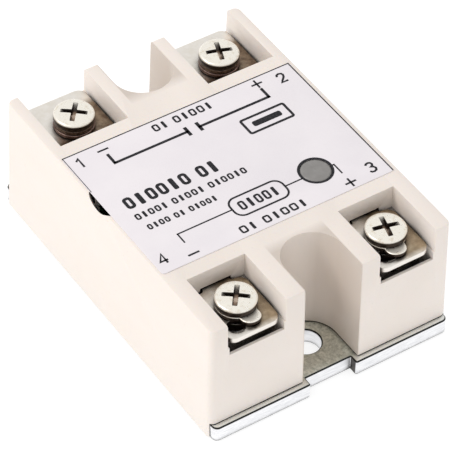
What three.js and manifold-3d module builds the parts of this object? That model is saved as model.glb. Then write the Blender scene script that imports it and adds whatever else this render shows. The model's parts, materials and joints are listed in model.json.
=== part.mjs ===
// Panel-mount solid state relay: a moulded cap on an aluminium base plate, four screw terminals,
// and the power stage, driver board and potting that the cap encloses.
// Millimetres. +Z is up, +Y points to the output end, and the origin is the centre of the underside.

import * as THREE from 'three';
import { mergeVertices } from 'three/addons/utils/BufferGeometryUtils.js';
import Module from 'manifold-3d';

const wasm = await Module();
wasm.setup();

// ---- Driving dimensions ------------------------------------------------------------------------

const HOUSING_WIDTH = 45;
const HOUSING_LENGTH = 61.8;
const HOUSING_TOP = 23;
const HOUSING_CORNER = 1.2;
const SIDE_DRAFT = 0.3;
const END_DRAFT = 0.75;
const TOP_EDGE = 0.4;
const WALL = 1.9;
const SKIRT_BOTTOM = 0.25;
const END_WALL_BOTTOM = 3.15;

const PLATE_LENGTH = 63.6;
const PLATE_WIDTH = 44.2;
const PLATE_THICKNESS = 3;
const PLATE_CORNER = 1;
const MOUNT_HOLE_RADIUS = 2.6;
const MOUNT_HOLE_Y = 23.8;
const END_NOTCH_WIDTH = 8.6;
const END_NOTCH_DEPTH = 1.6;

const RECESS_RADIUS = 5.2;
const RECESS_CENTRE_Y = 24.8;

// The two ends differ: the output wells (+Y) are wider and deeper than the input wells (-Y).
const OUTPUT_END = { side: 1, wellInner: 7.6, wellOuter: 20.2, wellBack: 16.5, screwY: 22.9 };
const INPUT_END = { side: -1, wellInner: 8.65, wellOuter: 19.2, wellBack: 18.7, screwY: 24.3 };
const SCREW_X = 13.9;

const TAB_BOTTOM = 18.3;
const TAB_THICKNESS = 1;
const TAB_TOP = TAB_BOTTOM + TAB_THICKNESS;
const TAB_FRONT = 30;
const TAB_CORNER = 1.6;
const WELL_FLOOR = TAB_BOTTOM - 0.05;
const LIP_TOP = 16.8;
const LIP_THICKNESS = 0.5;
const WIRE_POCKET_BOTTOM = 12.5;
const WIRE_POCKET_DEPTH = 3;
const TAB_LEDGE = 1.6;
const NECK_WIDTH = 5;
const LEG_SETBACK = 1.9;
const PIN_HALF_WIDTH = 1.2;
const COLLAR_RADIUS = 3;
const COLLAR_DEPTH = 1.2;
const THREAD_HOLE_RADIUS = 1.95;

const SHANK_RADIUS = 1.75;
const SHANK_LENGTH = 8.6;
const HEAD_RADIUS = 3.4;
const HEAD_HEIGHT = 1.6;
const SLIDE_GAP = 0.05;
const MOULD_GAP = 0.3;

const CAVITY_TOP = 21.2;
const CAVITY_FRONT = -16.5;
const CAVITY_REAR = 14.3;
const CORNER_CAVITY_TOP = 9.5;

const LABEL_THICKNESS = 0.15;
const LENS_X = 10.8;
const LENS_Y = -9.5;
const LENS_RADIUS = 2.5;

const BOARD_BOTTOM = 10.8;
const BOARD_THICKNESS = 1.6;
const BOARD_TOP = BOARD_BOTTOM + BOARD_THICKNESS;
const LEAD_HALF = 0.3;

const ROUND_STEPS = 24;
const FINE_STEPS = 48;

// ---- Solids ------------------------------------------------------------------------------------

function toSolid(geometry) {
  const bare = geometry.clone();
  bare.deleteAttribute('normal');
  bare.deleteAttribute('uv');
  const merged = mergeVertices(bare, 1e-4);
  return new wasm.Manifold(new wasm.Mesh({
    numProp: 3,
    vertProperties: new Float32Array(merged.attributes.position.array),
    triVerts: new Uint32Array(merged.index.array),
  }));
}

function toGeometry(solid) {
  const mesh = solid.getMesh();
  const geometry = new THREE.BufferGeometry();
  geometry.setAttribute('position', new THREE.BufferAttribute(mesh.vertProperties, 3));
  geometry.setIndex(new THREE.BufferAttribute(mesh.triVerts, 1));
  geometry.computeVertexNormals();
  return geometry;
}

function cut(base, ...tools) {
  return toGeometry(tools.reduce((solid, tool) => solid.subtract(toSolid(tool)), toSolid(base)));
}

function join(base, ...others) {
  return toGeometry(others.reduce((solid, other) => solid.add(toSolid(other)), toSolid(base)));
}

function block(lowX, highX, lowY, highY, lowZ, highZ) {
  const box = new THREE.BoxGeometry(highX - lowX, highY - lowY, highZ - lowZ);
  return box.translate((lowX + highX) / 2, (lowY + highY) / 2, (lowZ + highZ) / 2);
}

function pillar(x, y, radius, lowZ, highZ, steps = ROUND_STEPS) {
  const cylinder = new THREE.CylinderGeometry(radius, radius, highZ - lowZ, steps);
  return cylinder.rotateX(Math.PI / 2).translate(x, y, (lowZ + highZ) / 2);
}

function prism(shape, lowZ, highZ, curveSegments = 6) {
  const options = { depth: highZ - lowZ, bevelEnabled: false, curveSegments };
  return new THREE.ExtrudeGeometry(shape, options).translate(0, 0, lowZ);
}

// A body of revolution about +Z, from [radius, z] pairs that start and end on the axis.
function turned(profile, steps = ROUND_STEPS) {
  const points = profile.map(([radius, z]) => new THREE.Vector2(radius, z));
  return new THREE.LatheGeometry(points, steps).rotateX(Math.PI / 2);
}

function roundedRectangle(lowX, highX, lowY, highY, radius) {
  const shape = new THREE.Shape();
  shape.moveTo(lowX + radius, lowY);
  shape.lineTo(highX - radius, lowY);
  shape.absarc(highX - radius, lowY + radius, radius, -Math.PI / 2, 0);
  shape.lineTo(highX, highY - radius);
  shape.absarc(highX - radius, highY - radius, radius, 0, Math.PI / 2);
  shape.lineTo(lowX + radius, highY);
  shape.absarc(lowX + radius, highY - radius, radius, Math.PI / 2, Math.PI);
  shape.lineTo(lowX, lowY + radius);
  shape.absarc(lowX + radius, lowY + radius, radius, Math.PI, Math.PI * 1.5);
  return shape;
}

// A stretch from near to far, measured outwards from the middle, on the given side.
function span(side, near, far) {
  return side > 0 ? [near, far] : [-far, -near];
}

// ---- The assembly ------------------------------------------------------------------------------

const group = new THREE.Group();

function addPiece(name, geometry, material, position = [0, 0, 0], turn = 0) {
  const mesh = new THREE.Mesh(geometry, new THREE.MeshStandardMaterial(material));
  mesh.name = name;
  mesh.position.set(...position);
  mesh.rotation.z = turn;
  group.add(mesh);
}

const FINISH = {
  ivory: { color: 0xeae4d8, roughness: 0.45, metalness: 0 },
  labelFilm: { color: 0xf1f0f4, roughness: 0.55, metalness: 0 },
  smokedLens: { color: 0x8a857e, roughness: 0.25, metalness: 0 },
  redLed: { color: 0xb33a2c, roughness: 0.2, metalness: 0 },
  aluminium: { color: 0xc9ccd0, roughness: 0.35, metalness: 1 },
  nickel: { color: 0xd8d2c4, roughness: 0.28, metalness: 1 },
  platedBrass: { color: 0xa38d6c, roughness: 0.4, metalness: 1 },
  springSteel: { color: 0x7f7166, roughness: 0.4, metalness: 1 },
  copper: { color: 0xb8734a, roughness: 0.4, metalness: 1 },
  alumina: { color: 0xf0efe8, roughness: 0.6, metalness: 0 },
  epoxyBlack: { color: 0x1f1f21, roughness: 0.6, metalness: 0 },
  resistorBlue: { color: 0x6f9bb5, roughness: 0.5, metalness: 0 },
  boardGreen: { color: 0x2f6b43, roughness: 0.55, metalness: 0 },
  sleeveBlack: { color: 0x26282e, roughness: 0.4, metalness: 0 },
  potting: { color: 0x2b2a2c, roughness: 0.35, metalness: 0 },
};

const ENDS = [OUTPUT_END, INPUT_END];

// Terminals are numbered as on the label: 1 and 2 at the output end, 3 and 4 at the input end.
const TERMINALS = [
  { number: 1, end: OUTPUT_END, x: -SCREW_X, driveTurn: -0.69, washerTurn: 0.06 },
  { number: 2, end: OUTPUT_END, x: SCREW_X, driveTurn: -0.34, washerTurn: -0.12 },
  { number: 3, end: INPUT_END, x: SCREW_X, driveTurn: -0.25, washerTurn: -0.12 },
  { number: 4, end: INPUT_END, x: -SCREW_X, driveTurn: -0.675, washerTurn: 0.12 },
];

// ---- Base plate --------------------------------------------------------------------------------

function basePlate() {
  const halfWidth = PLATE_WIDTH / 2;
  const halfLength = PLATE_LENGTH / 2;
  const outline = roundedRectangle(-halfWidth, halfWidth, -halfLength, halfLength, PLATE_CORNER);
  const notchStart = halfLength - END_NOTCH_DEPTH;
  const below = -1;
  const above = PLATE_THICKNESS + 1;
  const endNotches = ENDS.map(({ side }) => {
    const [low, high] = span(side, notchStart, halfLength + 1);
    return block(-END_NOTCH_WIDTH / 2, END_NOTCH_WIDTH / 2, low, high, below, above);
  });
  return cut(
    prism(outline, 0, PLATE_THICKNESS),
    ...endNotches,
    pillar(0, -MOUNT_HOLE_Y, MOUNT_HOLE_RADIUS, below, above, FINE_STEPS),
    pillar(0, MOUNT_HOLE_Y, MOUNT_HOLE_RADIUS, below, above, FINE_STEPS),
    block(-MOUNT_HOLE_RADIUS, MOUNT_HOLE_RADIUS, MOUNT_HOLE_Y, halfLength + 1, below, above),
  );
}

// ---- Housing -----------------------------------------------------------------------------------

// The outer form narrows towards the top by the mould's draft.
function housingOuter() {
  const halfWidth = HOUSING_WIDTH / 2;
  const halfLength = HOUSING_LENGTH / 2;
  const outline = roundedRectangle(-halfWidth, halfWidth, -halfLength, halfLength, HOUSING_CORNER);
  const form = new THREE.ExtrudeGeometry(outline, {
    depth: HOUSING_TOP,
    curveSegments: 4,
    bevelThickness: TOP_EDGE,
    bevelSize: TOP_EDGE,
    bevelOffset: -TOP_EDGE,
    bevelSegments: 2,
  });
  form.translate(0, 0, -TOP_EDGE);
  const position = form.attributes.position;
  for (let i = 0; i < position.count; i += 1) {
    const rise = position.getZ(i) / HOUSING_TOP;
    position.setX(i, position.getX(i) * (1 - (SIDE_DRAFT / halfWidth) * rise));
    position.setY(i, position.getY(i) * (1 - (END_DRAFT / halfLength) * rise));
  }
  return form;
}

// The U-shaped opening at each end, through which the mounting screw and its driver pass. Its wall
// stops a little above the base plate.
function mountingRecess({ side }) {
  const undercut = 0.9;
  const levels = [
    { radius: RECESS_RADIUS, top: HOUSING_TOP + 1 },
    { radius: RECESS_RADIUS + undercut, top: END_WALL_BOTTOM },
  ];
  return levels.map(({ radius, top }) => {
    const shape = new THREE.Shape();
    shape.moveTo(-radius, -HOUSING_LENGTH);
    shape.lineTo(radius, -HOUSING_LENGTH);
    shape.lineTo(radius, -RECESS_CENTRE_Y);
    shape.absarc(0, -RECESS_CENTRE_Y, radius, 0, Math.PI);
    const opening = prism(shape, -1, top, ROUND_STEPS);
    return side > 0 ? opening.rotateZ(Math.PI) : opening;
  });
}

// One terminal's well, the slot under its tab's free edge with a deep pocket behind a thin lip, the
// hollow under the rest of the tab, the slit for its neck, and the bores for collar and screw.
function terminalWell({ end, x }) {
  const { side, wellInner, wellOuter, wellBack, screwY } = end;
  const outside = HOUSING_LENGTH;
  const [lowX, highX] = x > 0 ? [wellInner, wellOuter] : [-wellOuter, -wellInner];
  const [wellLow, wellHigh] = span(side, wellBack, outside);
  const pocketBack = TAB_FRONT - WIRE_POCKET_DEPTH;
  const [slotLow, slotHigh] = span(side, pocketBack, outside);
  const lipOutside = HOUSING_LENGTH / 2 - (END_DRAFT * LIP_TOP) / HOUSING_TOP;
  const [pocketLow, pocketHigh] = span(side, pocketBack, lipOutside - LIP_THICKNESS);
  const [hollowLow, hollowHigh] = span(side, wellBack + 1, TAB_FRONT);
  const cavityWall = side > 0 ? CAVITY_REAR : -CAVITY_FRONT;
  const [slitLow, slitHigh] = span(side, cavityWall - 1, wellBack + 1);
  const slitHalf = NECK_WIDTH / 2 + MOULD_GAP;
  const screwTip = TAB_TOP - SHANK_LENGTH + 0.4;
  const collarBottom = TAB_BOTTOM - COLLAR_DEPTH - MOULD_GAP;
  return [
    block(lowX, highX, wellLow, wellHigh, WELL_FLOOR, HOUSING_TOP + 1),
    block(lowX + MOULD_GAP, highX - MOULD_GAP, slotLow, slotHigh, LIP_TOP, WELL_FLOOR + 1),
    block(lowX + MOULD_GAP, highX - MOULD_GAP, pocketLow, pocketHigh, WIRE_POCKET_BOTTOM, LIP_TOP + 1),
    block(lowX + TAB_LEDGE, highX - TAB_LEDGE, hollowLow, hollowHigh, LIP_TOP, WELL_FLOOR + 1),
    block(x - slitHalf, x + slitHalf, slitLow, slitHigh, WELL_FLOOR, TAB_TOP + MOULD_GAP),
    pillar(x, side * screwY, COLLAR_RADIUS + MOULD_GAP, collarBottom, WELL_FLOOR + 1),
    pillar(x, side * screwY, SHANK_RADIUS + 0.65, screwTip, WELL_FLOOR + 1),
  ];
}

function cornerCavity({ end, x }) {
  const insideX = HOUSING_WIDTH / 2 - WALL - MOULD_GAP;
  const insideY = HOUSING_LENGTH / 2 - WALL;
  const [lowX, highX] = x > 0 ? [RECESS_RADIUS + WALL, insideX] : [-insideX, -RECESS_RADIUS - WALL];
  const [lowY, highY] = span(end.side, 12, insideY);
  return block(lowX, highX, lowY, highY, -1, CORNER_CAVITY_TOP);
}

// The clip pocket of a terminal cover, in the left side wall under the label. A round-bottomed notch,
// which slopes steeply down inwards, opens into it through the thin outer skin.
function clipPocket() {
  const chord = 5.2;
  const depth = 1.2;
  const skin = 0.65;
  const centreY = 2.2;
  const radius = (chord * chord / 4 + depth * depth) / (2 * depth);
  const pocketX = HOUSING_WIDTH / 2 - SIDE_DRAFT - skin;
  const inwardFall = -2;
  const notch = new THREE.CylinderGeometry(radius, radius, 2, 40).rotateZ(Math.PI / 2);
  notch.applyMatrix4(new THREE.Matrix4().makeShear(0, inwardFall, 0, 0, 0, 0));
  notch.translate(-HOUSING_WIDTH / 2 + SIDE_DRAFT, centreY, HOUSING_TOP - depth + radius);
  const halfPocket = chord / 2 - 0.3;
  const pocket = block(
    -pocketX, -pocketX + WALL + 0.4, centreY - halfPocket, centreY + halfPocket, 14, HOUSING_TOP + 1,
  );
  return [notch, pocket];
}

function housing() {
  const insideX = HOUSING_WIDTH / 2 - WALL - MOULD_GAP;
  const rebateX = PLATE_WIDTH / 2 + 0.1;
  const beyond = HOUSING_LENGTH;
  const plateSeat = PLATE_THICKNESS + SLIDE_GAP;
  return cut(
    housingOuter(),
    block(-beyond, beyond, -beyond, beyond, -2, SKIRT_BOTTOM),
    block(-rebateX, rebateX, -beyond, beyond, -1, plateSeat),
    ...ENDS.map(({ side }) => {
      const [low, high] = span(side, HOUSING_LENGTH / 2 - WALL - 1, beyond);
      return block(-rebateX, rebateX, low, high, -1, END_WALL_BOTTOM);
    }),
    block(-insideX, insideX, CAVITY_FRONT, CAVITY_REAR, -1, CAVITY_TOP),
    ...TERMINALS.map(cornerCavity),
    ...ENDS.flatMap(mountingRecess),
    ...TERMINALS.flatMap(terminalWell),
    ...clipPocket(),
    pillar(LENS_X, LENS_Y, LENS_RADIUS + 0.1, CAVITY_TOP - 1, HOUSING_TOP + 1, FINE_STEPS),
  );
}

// ---- Label and status light --------------------------------------------------------------------

function label() {
  const outline = roundedRectangle(-21.7, 21.35, -15.95, 13.8, 0.6);
  const opening = pillar(LENS_X, LENS_Y, LENS_RADIUS + 0.1, HOUSING_TOP - 1, HOUSING_TOP + 1, FINE_STEPS);
  return cut(prism(outline, HOUSING_TOP, HOUSING_TOP + LABEL_THICKNESS), opening);
}

function statusLens() {
  const flangeBottom = CAVITY_TOP - 0.9;
  const flangeTop = CAVITY_TOP - SLIDE_GAP;
  const face = HOUSING_TOP + 0.2;
  return turned([
    [0, flangeBottom],
    [LENS_RADIUS + 0.8, flangeBottom],
    [LENS_RADIUS + 0.8, flangeTop],
    [LENS_RADIUS, flangeTop],
    [LENS_RADIUS, face - 0.15],
    [LENS_RADIUS - 0.25, face],
    [0, face],
  ], FINE_STEPS);
}

function statusLed() {
  const foot = BOARD_TOP + 1;
  const bodyTop = foot + 4.3;
  const radius = 2.4;
  const domeSteps = 4;
  const dome = Array.from({ length: domeSteps }, (_, i) => {
    const angle = (i * Math.PI) / 2 / domeSteps;
    return [radius * Math.cos(angle), bodyTop + radius * Math.sin(angle)];
  });
  const flange = [[0, foot], [radius + 0.4, foot], [radius + 0.4, foot + 1], [radius, foot + 1]];
  const body = turned([...flange, ...dome, [0, bodyTop + radius]], ROUND_STEPS);
  const pins = [-1.27, 1.27].map((x) => pillar(x, 0, LEAD_HALF, BOARD_TOP + SLIDE_GAP, foot + 0.5, 8));
  return join(body, ...pins);
}

// ---- Terminals ---------------------------------------------------------------------------------

// A stamped strip: the tab under the screw, the neck through the wall, and a leg down to the circuit.
// It is drawn for an end that opens towards +Y, about the screw's own axis.
function terminalStrip(end, legFoot, pinFoot) {
  const halfTab = (end.wellOuter - end.wellInner) / 2 - 0.55;
  const midX = (end.wellOuter + end.wellInner) / 2 - SCREW_X;
  const front = TAB_FRONT - end.screwY;
  const back = end.wellBack + 0.5 - end.screwY;
  const cavityWall = end.side > 0 ? CAVITY_REAR : -CAVITY_FRONT;
  const legInner = cavityWall - LEG_SETBACK - end.screwY;
  const legOuter = legInner + TAB_THICKNESS;
  const tab = prism(
    roundedRectangle(midX - halfTab, midX + halfTab, back, front, TAB_CORNER),
    TAB_BOTTOM,
    TAB_TOP,
  );
  const pieces = [
    pillar(0, 0, COLLAR_RADIUS, TAB_BOTTOM - COLLAR_DEPTH, TAB_BOTTOM + 0.5),
    block(-NECK_WIDTH / 2, NECK_WIDTH / 2, legInner, back + 1.5, TAB_BOTTOM, TAB_TOP),
    block(-NECK_WIDTH / 2, NECK_WIDTH / 2, legInner, legOuter, legFoot, TAB_TOP),
    block(-PIN_HALF_WIDTH, PIN_HALF_WIDTH, legInner, legOuter, pinFoot, legFoot + 1),
  ];
  const holes = [pillar(0, 0, THREAD_HOLE_RADIUS, TAB_BOTTOM - 2, TAB_TOP + 1, FINE_STEPS)];
  if (end === INPUT_END) {
    holes.push(pillar(2.2, 3.5, 1.45, TAB_BOTTOM - 1, TAB_TOP + 1));
  }
  return cut(join(tab, ...pieces), ...holes);
}

// The wire clamp under the screw: a flat washer as wide as the screw's head at the output end, and
// at the input end a washer with a tongue, whose free edge curls up off the tab.
function flatWasher(thickness) {
  return cut(
    pillar(0, 0, HEAD_RADIUS, 0, thickness),
    pillar(0, 0, SHANK_RADIUS + 0.25, -1, thickness + 1),
  );
}

function tongueClamp(thickness) {
  const radius = 3.3;
  const reach = 5.1;
  const tongueRadius = 1.7;
  const tongue = new THREE.Shape();
  tongue.moveTo(-tongueRadius, 0);
  tongue.lineTo(-tongueRadius, -reach + tongueRadius);
  tongue.absarc(0, -reach + tongueRadius, tongueRadius, Math.PI, Math.PI * 2);
  tongue.lineTo(tongueRadius, 0);
  const curl = new THREE.Shape();
  curl.moveTo(-tongueRadius, -reach + tongueRadius);
  curl.absarc(0, -reach + tongueRadius, tongueRadius, Math.PI, Math.PI * 2);
  const bore = pillar(0, 0, SHANK_RADIUS + 0.25, -1, thickness + 1);
  const disc = pillar(0, 0, radius, 0, thickness);
  return cut(join(disc, prism(tongue, 0, thickness), prism(curl, thickness / 2, thickness + 0.35)), bore);
}

// A split spring washer: the ring's gap is cut on a slant.
function lockWasher(thickness) {
  const ring = cut(
    pillar(0, 0, 3.3, 0, thickness),
    pillar(0, 0, SHANK_RADIUS + 0.25, -1, thickness + 1),
  );
  const slit = block(2, 4, -0.25, 0.25, -1, thickness + 1);
  return cut(ring, slit);
}

// A pan-head machine screw with a cross recess, its head's underside at z = 0. The head has a
// straight side, a rounded rim and a slightly crowned top.
function panHeadScrew() {
  const rimSteps = 4;
  const rimRadius = 0.5;
  const crown = 0.2;
  const rimTop = HEAD_HEIGHT - crown - rimRadius;
  const rim = Array.from({ length: rimSteps + 1 }, (_, i) => {
    const angle = (i * Math.PI) / 2 / rimSteps;
    return [HEAD_RADIUS - rimRadius * (1 - Math.cos(angle)), rimTop + rimRadius * Math.sin(angle)];
  });
  const body = turned([
    [0, -SHANK_LENGTH],
    [SHANK_RADIUS - 0.5, -SHANK_LENGTH],
    [SHANK_RADIUS, -SHANK_LENGTH + 0.6],
    [SHANK_RADIUS, 0],
    [HEAD_RADIUS - 0.15, 0],
    [HEAD_RADIUS, 0.15],
    ...rim,
    [HEAD_RADIUS / 2, HEAD_HEIGHT - crown * 0.3],
    [0, HEAD_HEIGHT],
  ]);
  const armHalf = 2.2;
  const armWidth = 0.45;
  const depth = 1.2;
  return cut(
    body,
    block(-armHalf, armHalf, -armWidth, armWidth, HEAD_HEIGHT - depth, HEAD_HEIGHT + 1),
    block(-armWidth, armWidth, -armHalf, armHalf, HEAD_HEIGHT - depth, HEAD_HEIGHT + 1),
  );
}

function addTerminal({ number, end, x, driveTurn, washerTurn }) {
  const output = end === OUTPUT_END;
  const y = end.side * end.screwY;
  const clampThickness = output ? 0.7 : 0.8;
  const clampFinish = output ? FINISH.platedBrass : FINISH.nickel;
  const lockThickness = 0.7;
  const clampBottom = TAB_TOP + SLIDE_GAP;
  const lockBottom = clampBottom + clampThickness + SLIDE_GAP;
  const headBottom = output ? lockBottom + lockThickness + SLIDE_GAP : lockBottom;
  const clamp = output ? flatWasher(clampThickness) : tongueClamp(clampThickness);
  const strip = output
    ? terminalStrip(end, 4.05, 4.05)
    : terminalStrip(end, BOARD_TOP + MOULD_GAP, BOARD_BOTTOM - 1);
  addPiece(`terminal_plate_${number}`, strip, FINISH.platedBrass, [x, y, 0], output ? 0 : Math.PI);
  addPiece(`clamp_washer_${number}`, clamp, clampFinish, [x, y, clampBottom], washerTurn);
  if (output) {
    const place = [x, y, lockBottom];
    addPiece(`lock_washer_${number}`, lockWasher(lockThickness), FINISH.springSteel, place, washerTurn);
  }
  addPiece(`terminal_screw_${number}`, panHeadScrew(), FINISH.nickel, [x, y, headBottom], driveTurn);
}

// ---- Power stage on the base plate ---------------------------------------------------------------

const CERAMIC_BOTTOM = PLATE_THICKNESS + SLIDE_GAP;
const CERAMIC_TOP = CERAMIC_BOTTOM + 0.6;
const PAD_BOTTOM = CERAMIC_TOP + 0.02;
const PAD_TOP = PAD_BOTTOM + 0.3;
const MOSFET_BOTTOM = PAD_TOP + 0.02;
const MOSFET_X = [-6, 5];
const MOSFET_Y = 1;

function drainPad() {
  return join(
    block(-16.5, 10, -3.5, 6, PAD_BOTTOM, PAD_TOP),
    block(-16.5, -10.5, 5, 13.6, PAD_BOTTOM, PAD_TOP),
  );
}

function sourcePad() {
  return block(-9.5, 16.5, 7, 13.6, PAD_BOTTOM, PAD_TOP);
}

// Moulded body on a heat-spreader tab, with its source leads reaching over the source pad.
function mosfet() {
  const half = 4.5;
  const lead = (x) => block(x - 0.4, x + 0.4, 4, 7.4, 0.1, 0.6);
  return join(
    block(-half, half, -3, 4.2, 0.4, 4.2),
    block(-half, half, -4, 4, 0, 1),
    lead(-2.5),
    lead(2.5),
  );
}

function gatePin() {
  return block(-0.4, 0.4, -0.4, 0.4, PAD_TOP + MOULD_GAP, BOARD_TOP + 0.8);
}

const GATE_PIN_PLACES = [[12.2, 1], [12.2, 4.5]];

// The resin fills the cavity up to the board, round the power stage and the terminal legs.
function pottingFill() {
  const insideX = HOUSING_WIDTH / 2 - WALL - MOULD_GAP;
  const edge = 0.1;
  const resinTop = BOARD_BOTTOM - SLIDE_GAP;
  const legs = TERMINALS.map(({ end, x }) => {
    const cavityWall = end.side > 0 ? CAVITY_REAR : -CAVITY_FRONT;
    const [low, high] = span(end.side, cavityWall - LEG_SETBACK - MOULD_GAP, cavityWall + 1);
    const legHalf = NECK_WIDTH / 2 + MOULD_GAP;
    return block(x - legHalf, x + legHalf, low, high, -1, resinTop + 1);
  });
  return cut(
    block(-insideX + edge, insideX - edge, CAVITY_FRONT + edge, CAVITY_REAR - edge, CERAMIC_BOTTOM, resinTop),
    block(-17.3, 17.3, -4.3, CAVITY_REAR + 1, 0, PAD_TOP + MOULD_GAP),
    ...MOSFET_X.map((x) => block(x - 4.8, x + 4.8, -3.3, 8.7, 0, MOSFET_BOTTOM + 4.5)),
    ...GATE_PIN_PLACES.map(([x, y]) => block(x - 0.7, x + 0.7, y - 0.7, y + 0.7, 0, resinTop + 1)),
    ...legs,
  );
}

// ---- Driver board ------------------------------------------------------------------------------

function circuitBoard() {
  const slotHalf = PIN_HALF_WIDTH + MOULD_GAP;
  const slotHigh = CAVITY_FRONT + LEG_SETBACK + MOULD_GAP;
  const slotLow = slotHigh - TAB_THICKNESS - 2 * MOULD_GAP;
  const slots = [-SCREW_X, SCREW_X].map((x) => (
    block(x - slotHalf, x + slotHalf, slotLow, slotHigh, 0, HOUSING_TOP)
  ));
  const pinHoles = GATE_PIN_PLACES.map(([x, y]) => block(x - 0.7, x + 0.7, y - 0.7, y + 0.7, 0, HOUSING_TOP));
  return cut(block(-19.4, 19.4, -16.2, 11.2, BOARD_BOTTOM, BOARD_TOP), ...slots, ...pinHoles);
}

function optocoupler() {
  const legs = [[-3.6, -1.27], [3.6, -1.27], [-3.6, 1.27], [3.6, 1.27]].map(([x, y]) => {
    const inner = x > 0 ? 2.9 : -2.9;
    return join(
      block(Math.min(x, inner), Math.max(x, inner), y - 0.3, y + 0.3, 1.6, 2),
      block(x - 0.2, x + 0.2, y - 0.3, y + 0.3, 0, 2),
    );
  });
  return join(block(-3.1, 3.1, -2.3, 2.3, 0.6, 4), ...legs);
}

// An axial component lying along X: a turned body and two leads that step down to the board.
function axialComponent(profile, bodyHalf, bodyRadius) {
  const height = bodyRadius + 0.3;
  const body = turned(profile, 16).rotateY(Math.PI / 2).translate(0, 0, height);
  const reach = bodyHalf + 1.6;
  const leads = [-1, 1].flatMap((side) => {
    const [low, high] = span(side, bodyHalf - 0.6, reach);
    const [footLow, footHigh] = span(side, reach - 2 * LEAD_HALF, reach);
    return [
      block(low, high, -LEAD_HALF, LEAD_HALF, height - LEAD_HALF, height + LEAD_HALF),
      block(footLow, footHigh, -LEAD_HALF, LEAD_HALF, 0, height + LEAD_HALF),
    ];
  });
  return join(body, ...leads);
}

function resistor() {
  const half = 3.1;
  const profile = [
    [0, -half], [0.8, -half], [1.2, -half + 0.4], [1.2, -half + 1.3], [0.95, -half + 1.7],
    [0.95, half - 1.7], [1.2, half - 1.3], [1.2, half - 0.4], [0.8, half], [0, half],
  ];
  return axialComponent(profile, half, 1.2);
}

function diode(half, radius) {
  const edge = radius * 0.15;
  const profile = [[0, -half], [radius - edge, -half], [radius, -half + edge], [radius, half - edge],
    [radius - edge, half], [0, half]];
  return axialComponent(profile, half, radius);
}

function driverTransistor() {
  const radius = 2.4;
  const outline = new THREE.Shape();
  const flat = 0.75;
  outline.absarc(0, 0, radius, -flat, Math.PI + flat);
  const leads = [-1.27, 0, 1.27].map((x) => block(x - 0.25, x + 0.25, -0.25, 0.25, 0, 2.2));
  return join(prism(outline, 2, 6.6), ...leads);
}

function filterCapacitor() {
  const radius = 2.5;
  const can = turned([
    [0, 0.4], [radius - 0.2, 0.4], [radius, 0.6], [radius, 1.4], [radius - 0.25, 1.7], [radius, 2],
    [radius, 7.1], [radius - 0.3, 7.4], [0, 7.4],
  ]);
  const leads = [-1, 1].map((x) => pillar(x, 0, 0.25, 0, 0.6, 8));
  return join(can, ...leads);
}

// ---- Putting it together -------------------------------------------------------------------------

const onBoard = (x, y) => [x, y, BOARD_TOP + SLIDE_GAP];

addPiece('base_plate', basePlate(), FINISH.aluminium);
addPiece('housing', housing(), FINISH.ivory);
addPiece('label', label(), FINISH.labelFilm);
addPiece('status_lens', statusLens(), FINISH.smokedLens, [LENS_X, LENS_Y, 0]);
addPiece('status_led', statusLed(), FINISH.redLed, [LENS_X, LENS_Y, 0]);
TERMINALS.forEach(addTerminal);

addPiece('ceramic_insulator', block(-17, 17, -4, 13.9, CERAMIC_BOTTOM, CERAMIC_TOP), FINISH.alumina);
addPiece('drain_pad', drainPad(), FINISH.copper);
addPiece('source_pad', sourcePad(), FINISH.copper);
MOSFET_X.forEach((x, i) => {
  addPiece(`mosfet_${i + 1}`, mosfet(), FINISH.epoxyBlack, [x, MOSFET_Y, MOSFET_BOTTOM]);
});
GATE_PIN_PLACES.forEach(([x, y], i) => {
  addPiece(`gate_pin_${i + 1}`, gatePin(), FINISH.copper, [x, y, 0]);
});
addPiece('potting_fill', pottingFill(), FINISH.potting);

addPiece('circuit_board', circuitBoard(), FINISH.boardGreen);
addPiece('optocoupler', optocoupler(), FINISH.epoxyBlack, onBoard(-3, -11));
[-8, -4, 0].forEach((y, i) => {
  addPiece(`resistor_${i + 1}`, resistor(), FINISH.resistorBlue, onBoard(-13, y));
});
addPiece('input_diode', diode(2.6, 1.35), FINISH.epoxyBlack, onBoard(-1, -5.5));
addPiece('driver_transistor', driverTransistor(), FINISH.epoxyBlack, onBoard(4, -1));
addPiece('filter_capacitor', filterCapacitor(), FINISH.sleeveBlack, onBoard(12, -2));
addPiece('surge_suppressor', diode(4.2, 2.4), FINISH.epoxyBlack, onBoard(-2, 6));

export default group;
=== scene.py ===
"""Looks of the panel-mount solid state relay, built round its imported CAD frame. Blender 4.5."""

import json
import math

import bmesh
import bpy
from mathutils import Matrix, Vector


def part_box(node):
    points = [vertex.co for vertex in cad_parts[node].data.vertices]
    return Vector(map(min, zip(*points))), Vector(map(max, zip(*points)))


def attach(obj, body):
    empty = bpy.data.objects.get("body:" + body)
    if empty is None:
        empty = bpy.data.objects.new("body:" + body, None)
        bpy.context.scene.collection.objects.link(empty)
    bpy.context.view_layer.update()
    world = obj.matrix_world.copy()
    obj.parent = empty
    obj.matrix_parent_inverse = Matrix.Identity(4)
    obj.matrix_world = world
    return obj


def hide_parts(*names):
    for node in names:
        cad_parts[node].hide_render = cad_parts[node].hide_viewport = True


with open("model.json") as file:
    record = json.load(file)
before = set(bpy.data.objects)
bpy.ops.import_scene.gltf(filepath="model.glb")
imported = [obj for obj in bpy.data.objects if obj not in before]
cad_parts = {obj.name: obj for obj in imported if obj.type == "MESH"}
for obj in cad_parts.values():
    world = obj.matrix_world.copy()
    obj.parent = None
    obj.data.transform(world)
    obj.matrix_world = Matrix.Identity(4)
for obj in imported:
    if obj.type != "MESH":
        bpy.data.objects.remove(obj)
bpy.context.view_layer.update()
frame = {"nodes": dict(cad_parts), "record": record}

MM = 0.001
NODES = frame["nodes"]
BEHAVIOUR = frame["record"]["behaviour"]
BODY_OF = {node: body for body, nodes in BEHAVIOUR["bodies"].items() for node in nodes}
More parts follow.
